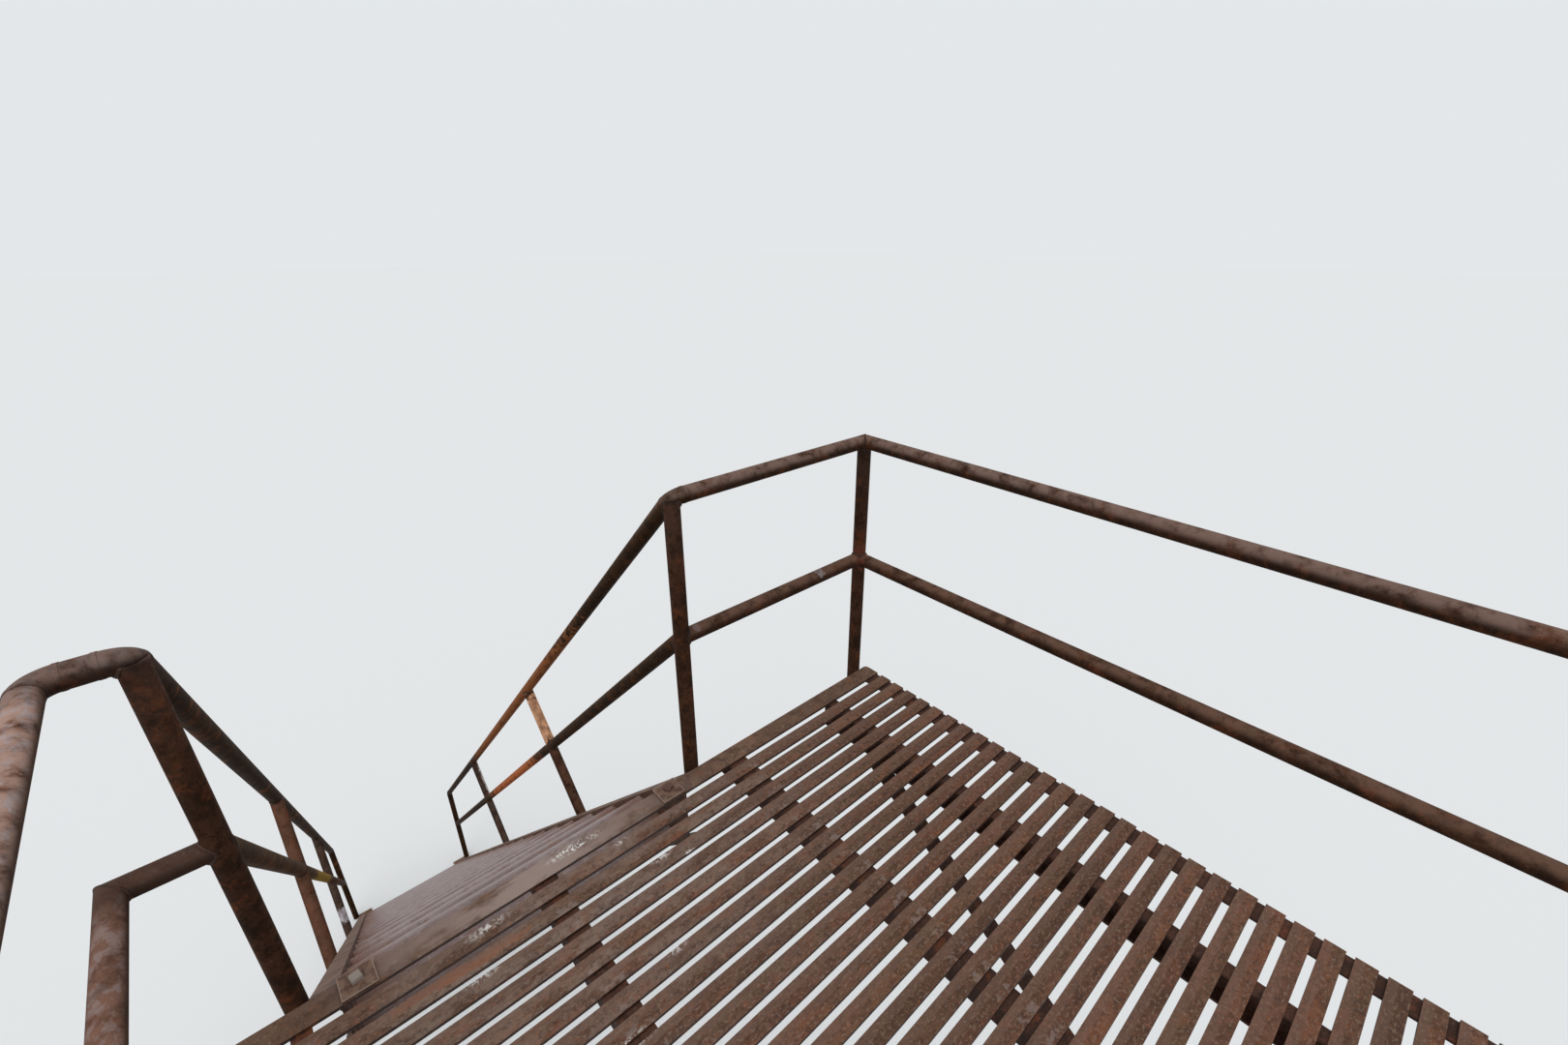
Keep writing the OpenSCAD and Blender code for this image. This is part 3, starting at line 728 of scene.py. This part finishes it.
def add_stub(bm, origin, up, height):
    """The end of a bolt's shank that stands out of its nut."""
    shank_r, shank_sides = 0.006, 16
    matrix = basis(origin, up)
    rings = [ring_of(matrix, shank_r, z, shank_sides) for z in (0, height * 0.8)]
    rings.append(ring_of(matrix, shank_r * 0.8, height, shank_sides))
    add_rings(bm, rings, False)


# Bolts: width and height of each head or nut, where shank ends start, circle of the flange screws

SQUARE_HEAD = (0.024, 0.013)
CLIP_NUT = (0.020, 0.010)
REAR_HEAD = (0.021, 0.010)
UPRIGHT_HEAD = (0.019, 0.009)
FLANGE_SCREW = (0.011, 0.006)
FOOT_NUT = (0.019, 0.010)
CLIP_STUB_START = 0.010
FOOT_STUB_START = 0.012
SCREW_CIRCLE_R = 0.039


def clip_bolts(material):
    """One square-headed bolt down through each clip, turned its own way, and its nut below."""
    bm = bmesh.new()
    for side, turn in ((1, 0.5), (-1, 0.2)):
        over = Vector((STAIR_X + side * CLIP_BOLT_X, CLIP_BOLT_Y, DECK_TOP + CLIP_T))
        under = Vector((over.x, over.y, DECK_UNDER))
        add_head(bm, over, Z, *SQUARE_HEAD, sides=4, washer=False, turn=turn)
        add_head(bm, under, -Z, *CLIP_NUT)
        add_stub(bm, under - Z * CLIP_STUB_START, -Z, 0.010)
    return new_piece("clip_bolts", bm, material)


def wall_bolts(material):
    """Anchor bolts of the rear angle and the uprights, and the screws of the rail flanges."""
    bm = bmesh.new()
    for x in REAR_BOLT_XS:
        add_head(bm, Vector((x, SLAT_T, 0)), Y, *REAR_HEAD)
    for x in UPRIGHT_BOLT_XS:
        for z in UPRIGHT_BOLT_ZS:
            add_head(bm, Vector((x, ANGLE_T, z)), Y, *UPRIGHT_HEAD)
    for x, z in WALL_ENDS:
        for corner in range(4):
            turn = math.pi * (corner + 0.5) / 2
            out = X * math.cos(turn) + Z * math.sin(turn)
            spot = Vector((x, WALL_FLANGE_T, z)) + out * SCREW_CIRCLE_R
            add_head(bm, spot, Y, *FLANGE_SCREW, washer=False)
    return new_piece("wall_bolts", bm, material)


def foot_bolts(material):
    """Two anchor bolts through each stringer's foot plate, with their nuts and shank ends."""
    bm = bmesh.new()
    for _, side in SIDES:
        for y in FOOT_BOLT_YS:
            plate = Vector((STAIR_X + side * (WEB_X - FOOT_BOLT_IN), y, GROUND + FOOT_T))
            add_head(bm, plate, Z, *FOOT_NUT)
            add_stub(bm, plate + Z * FOOT_STUB_START, Z, 0.014)
    return new_piece("foot_bolts", bm, material)


# Weld beads


def on_rail(x, run):
    """The point on a stair's top rail axis at a level run from its landing post."""
    return Vector((x, POST_Y, RAIL_Z)) + DOWN * (run / DOWN.y)


def rail_welds(material):
    """Beads round every coped pipe joint of the guard rails."""
    bm = bmesh.new()
    top_right = tree_of("front_rails", "right_side_rails")
    joint_bead(bm, top_right, Vector((RIGHT_RAIL_X, POST_Y, RAIL_Z - UNDER_RAIL)), Z)
    corner_post = tree_of("corner_post")
    joint_bead(bm, corner_post, Vector((RIGHT_RAIL_X - BESIDE_POST, POST_Y, MID_Z)), X)
    joint_bead(bm, corner_post, Vector((RIGHT_RAIL_X, POST_Y - BESIDE_POST, MID_Z)), Y)
    for name, side in SIDES:
        stair_side_welds(bm, name, side)
    return new_piece("rail_weld_beads", bm, material)


def stair_side_welds(bm, name, side):
    """The beads of one side's stair rails: at the landing post, the stair posts and the end."""
    x = STAIR_X + side * POST_X
    rail = tree_of(f"{name}_stair_top_rail")
    post = tree_of(f"{name}_landing_post")
    mid = Vector((x, POST_Y, MID_Z))
    joint_bead(bm, rail, Vector((x, POST_Y, RAIL_Z - UNDER_BEND)), Z)
    joint_bead(bm, post, mid + X * side * BESIDE_POST, -X * side)
    joint_bead(bm, post, mid + DOWN * SLANTING, -DOWN, SLANTING)
    end = mid + DOWN * (END_RUN / DOWN.y)
    joint_bead(bm, rail, end - DOWN * SLANTING, DOWN, SLANTING)
    for level, run in POST_RUNS:
        at_top = on_rail(x, run)
        joint_bead(bm, rail, at_top + SQUARE_DOWN * UNDER_RAIL, -SQUARE_DOWN)
        stair_post = tree_of(f"{name}_{level}_post")
        crossing = at_top + SQUARE_DOWN * (RAIL_Z - MID_Z) * math.cos(SLOPE)
        joint_bead(bm, stair_post, crossing + DOWN * UNDER_RAIL, -DOWN)
        joint_bead(bm, stair_post, crossing - DOWN * UNDER_RAIL, DOWN)


def mitre_welds(material):
    """Welds round the mitre over the corner post and at the left middle rail's corner."""
    bm = bmesh.new()
    for x, z, way in ((RIGHT_RAIL_X, RAIL_Z, 1), (LEFT_RAIL_X, MID_Z, -1)):
        leg_front, leg_side = -X * way * MITRE_LEG, -Y * MITRE_LEG
        rings = []
        for i in range(PIPE_POINTS):
            turn = 2 * math.pi * i / PIPE_POINTS
            out, high = math.cos(turn), math.sin(turn)
            corner = Vector((x + way * out * PIPE_R, POST_Y + out * PIPE_R, z + high * PIPE_R))
            front_skin = Vector((0, out, high))
            side_skin = Vector((way * out, 0, high))
            swell = ripple(i * MITRE_SPACING, corner)
            rings.append(seam_ring(corner, front_skin, side_skin, leg_front, leg_side, swell))
        add_rings(bm, rings, True)
    return new_piece("mitre_weld_beads", bm, material)


def flange_welds(material):
    """Fillets round the rails where they end on their wall flanges."""
    bm = bmesh.new()
    for x, z in WALL_ENDS:
        rings = []
        for i in range(FLANGE_POINTS):
            turn = 2 * math.pi * i / FLANGE_POINTS
            out = X * math.cos(turn) + Z * math.sin(turn)
            corner = Vector((x, WALL_FLANGE_T, z)) + out * PIPE_R
            swell = ripple(i * FLANGE_SPACING, corner)
            rings.append(seam_ring(corner, out, Y, Y * PIPE_LEG, out * PIPE_LEG, swell))
        add_rings(bm, rings, True)
    return new_piece("flange_weld_beads", bm, material)


def post_foot_welds(material):
    """Beads down both sides of each post where it lies against the landing or the stringer."""
    bead_r, aside, proud = 0.0034, 0.0085, 0.0014
    foot_in, foot_len = 0.004, 0.052
    edge_in, half_len = 0.005, 0.0045
    bm = bmesh.new()
    for x in (RIGHT_RAIL_X, RIGHT_POST_X, LEFT_POST_X):
        for side in (-1, 1):
            foot = Vector((x + side * aside, DECK_D + proud, POST_FOOT_Z + foot_in))
            straight_bead(bm, foot, foot + Z * foot_len, bead_r)
    rail_over_flange = RAIL_Z - DECK_TOP + (POST_Y - DECK_D) * RISE / GOING
    for _, side in SIDES:
        toe = STAIR_X + side * (TOE_X + proud)
        for _, run in POST_RUNS:
            on_flange = on_rail(toe, run) + SQUARE_DOWN * rail_over_flange * math.cos(SLOPE)
            for down in (edge_in, STRINGER_D - edge_in):
                for way in (-1, 1):
                    spot = on_flange + SQUARE_DOWN * down + DOWN * way * aside
                    half = SQUARE_DOWN * half_len
                    straight_bead(bm, spot - half, spot + half, bead_r)
    return new_piece("post_foot_weld_beads", bm, material)


def landing_welds(material):
    """A short fillet under every flat bar, on one side of each bearer that carries it."""
    bead_r, spacing, clear = 0.0028, 0.004, 0.001
    start_in, length = 0.008, 0.028
    bm = bmesh.new()
    for i in range(SLAT_COUNT):
        back = SLATS_FRONT - SLAT_W - i * SLAT_PITCH
        for x, side in BEARERS:
            beside = x + side * (ANGLE_LEG + clear)
            start = Vector((beside, back + start_in, DECK_UNDER - clear))
            straight_bead(bm, start, start + Y * length, bead_r, spacing)
    return new_piece("landing_weld_beads", bm, material)


def tread_welds(material):
    """Two fillets that hold each of a tread's cleats to the stringer."""
    bead_r, spacing, clear = 0.003, 0.004, 0.001
    cleat_depth = 0.0385
    behind_nose = ((0.19, 0.15), (0.08, 0.04))
    bm = bmesh.new()
    for k in range(1, RISER_COUNT):
        nose = Vector((STAIR_X, DECK_D + k * GOING, DECK_TOP - k * RISE))
        for side in (-1, 1):
            low = nose + X * side * (WEB_X - clear) - Z * cleat_depth
            for start, end in behind_nose:
                straight_bead(bm, low - Y * start, low - Y * end, bead_r, spacing)
    return new_piece("tread_weld_beads", bm, material)


def clip_welds(material):
    """A fillet down the outer edge of each clip's leg on the stringer's web."""
    bead_r, length, clear, sunk = 0.003, 0.062, 0.001, 0.002
    bm = bmesh.new()
    for side in (-1, 1):
        x = STAIR_X + side * (WEB_X - sunk)
        top = Vector((x, DECK_D + CLIP_T + clear, DECK_TOP - sunk))
        straight_bead(bm, top, top - Z * length, bead_r)
    return new_piece("clip_weld_beads", bm, material)


# Dressing the CAD nodes


def dress(material, *names):
    """Gives the material to every slot of the CAD nodes named."""
    for name in names:
        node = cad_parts[name]
        if not node.material_slots:
            node.data.materials.append(material)
        for slot in node.material_slots:
            slot.material = material


def dress_all():
    """Puts a steel on every CAD node."""
    dress(slat_steel(), "deck_slats")
    dress(edge_steel(), "front_edge_bars", "rear_edge_angle")
    dress(frame_steel(), "deck_bearers",
          *(f"{side}_{part}" for side, _ in SIDES
            for part in ("bracket_channel", "bracket_brace", "wall_upright")))
    dress(stringer_steel(), "right_stringer", "left_stringer")
    dress(tread_plate(), *(f"tread_{k:02d}" for k in range(1, RISER_COUNT)))
    for name, tones, marks, nodes in RAIL_PAINT:
        dress(pipe_steel(name, *tones, marks), *nodes)
    dress(level_worn_paint(), "left_side_rails", "left_stair_top_rail")


def dress_extras():
    """Adds the bolts and the weld beads."""
    bolts = bolt_steel()
    weld = weld_steel()
    clip_bolts(bolts)
    wall_bolts(bolts)
    foot_bolts(bolts)
    rail_welds(weld)
    mitre_welds(weld)
    flange_welds(weld)
    post_foot_welds(weld)
    landing_welds(weld)
    tread_welds(weld)
    clip_welds(weld)


# Studio


def studio_floor():
    """A wide floor just under the stair's feet."""
    half, below = 150.0, 0.0005
    bm = bmesh.new()
    corners = [bm.verts.new((x, y, GROUND - below)) for x, y in
               ((-half, -half), (half, -half), (half, half), (-half, half))]
    bm.faces.new(corners)
    mesh = bpy.data.meshes.new("studio_floor")
    bm.to_mesh(mesh)
    bm.free()
    floor = bpy.data.objects.new("studio_floor", mesh)
    bpy.context.scene.collection.objects.link(floor)
    mesh.materials.append(floor_pale())


def floor_pale():
    """A floor that looks pale but lights the stair's underside no more than soil does."""
    material = bpy.data.materials.new("floor_pale")
    material.use_nodes = True
    tree = material.node_tree
    tree.nodes.clear()
    path = tree.nodes.new("ShaderNodeLightPath")
    seen = seen_directly(tree, path)
    dim = tree.nodes.new("ShaderNodeBsdfDiffuse")
    dim.inputs["Color"].default_value = (0.3, 0.3, 0.3, 1)
    pale = tree.nodes.new("ShaderNodeBsdfDiffuse")
    pale.inputs["Color"].default_value = (0.8, 0.8, 0.8, 1)
    mix = tree.nodes.new("ShaderNodeMixShader")
    out = tree.nodes.new("ShaderNodeOutputMaterial")
    tree.links.new(seen, mix.inputs[0])
    tree.links.new(dim.outputs[0], mix.inputs[1])
    tree.links.new(pale.outputs[0], mix.inputs[2])
    tree.links.new(mix.outputs[0], out.inputs["Surface"])
    return material


def seen_directly(tree, path):
    """1 for rays from the camera, and for those that it sends on by gloss or through glass."""
    first = tree.nodes.new("ShaderNodeMath")
    first.operation = "MAXIMUM"
    tree.links.new(path.outputs["Is Camera Ray"], first.inputs[0])
    tree.links.new(path.outputs["Is Glossy Ray"], first.inputs[1])
    both = tree.nodes.new("ShaderNodeMath")
    both.operation = "MAXIMUM"
    tree.links.new(first.outputs[0], both.inputs[0])
    tree.links.new(path.outputs["Is Transmission Ray"], both.inputs[1])
    return both.outputs[0]


def overcast_sky():
    """An even sky that lights a level surface at about strength 1, with a very soft sun."""
    world = bpy.data.worlds.new("sky")
    bpy.context.scene.world = world
    world.use_nodes = True
    shade = world.node_tree.nodes["Background"]
    shade.inputs["Color"].default_value = (0.95, 0.98, 1.0, 1)
    shade.inputs["Strength"].default_value = 0.82
    sun = bpy.data.lights.new("soft_sun", "SUN")
    sun.energy = 0.75
    sun.angle = math.radians(50)
    lamp = bpy.data.objects.new("soft_sun", sun)
    lamp.rotation_euler = (math.radians(38), 0, math.radians(-60))
    bpy.context.scene.collection.objects.link(lamp)


# The photograph's camera: degrees turned right, tipped down and rolled, the eye and the lens

CAMERA_TURNS = (41.8951, 23.8763, -0.0570)
CAMERA_EYE = (-0.6601, 0.5239, 1.6529)
SENSOR_MM = 36
LENS_MM = 15.244


def photo_camera():
    """The photograph's viewpoint, at eye height on the landing, looking out over the corner."""
    yaw, pitch, roll = (math.radians(a) for a in CAMERA_TURNS)
    ahead = Vector((math.sin(yaw), math.cos(yaw), 0))
    right = Vector((math.cos(yaw), -math.sin(yaw), 0))
    look = ahead * math.cos(pitch) - Z * math.sin(pitch)
    top = ahead * math.sin(pitch) + Z * math.cos(pitch)
    rolled_right = right * math.cos(roll) + top * math.sin(roll)
    rolled_top = top * math.cos(roll) - right * math.sin(roll)
    lens = bpy.data.cameras.new("photo_camera")
    lens.sensor_width = SENSOR_MM
    lens.sensor_fit = "HORIZONTAL"
    lens.lens = LENS_MM
    lens.clip_start = 0.02
    lens.clip_end = 400
    camera = bpy.data.objects.new("photo_camera", lens)
    turn = Matrix((rolled_right, rolled_top, -look)).transposed().to_4x4()
    camera.matrix_world = Matrix.Translation(CAMERA_EYE) @ turn
    bpy.context.scene.collection.objects.link(camera)
    bpy.context.scene.camera = camera


# This seed makes the wander of the beads come out the same in every run

noise.seed_set(7)

dress_all()
dress_extras()
studio_floor()
overcast_sky()
photo_camera()
bpy.context.scene.view_settings.view_transform = "Standard"
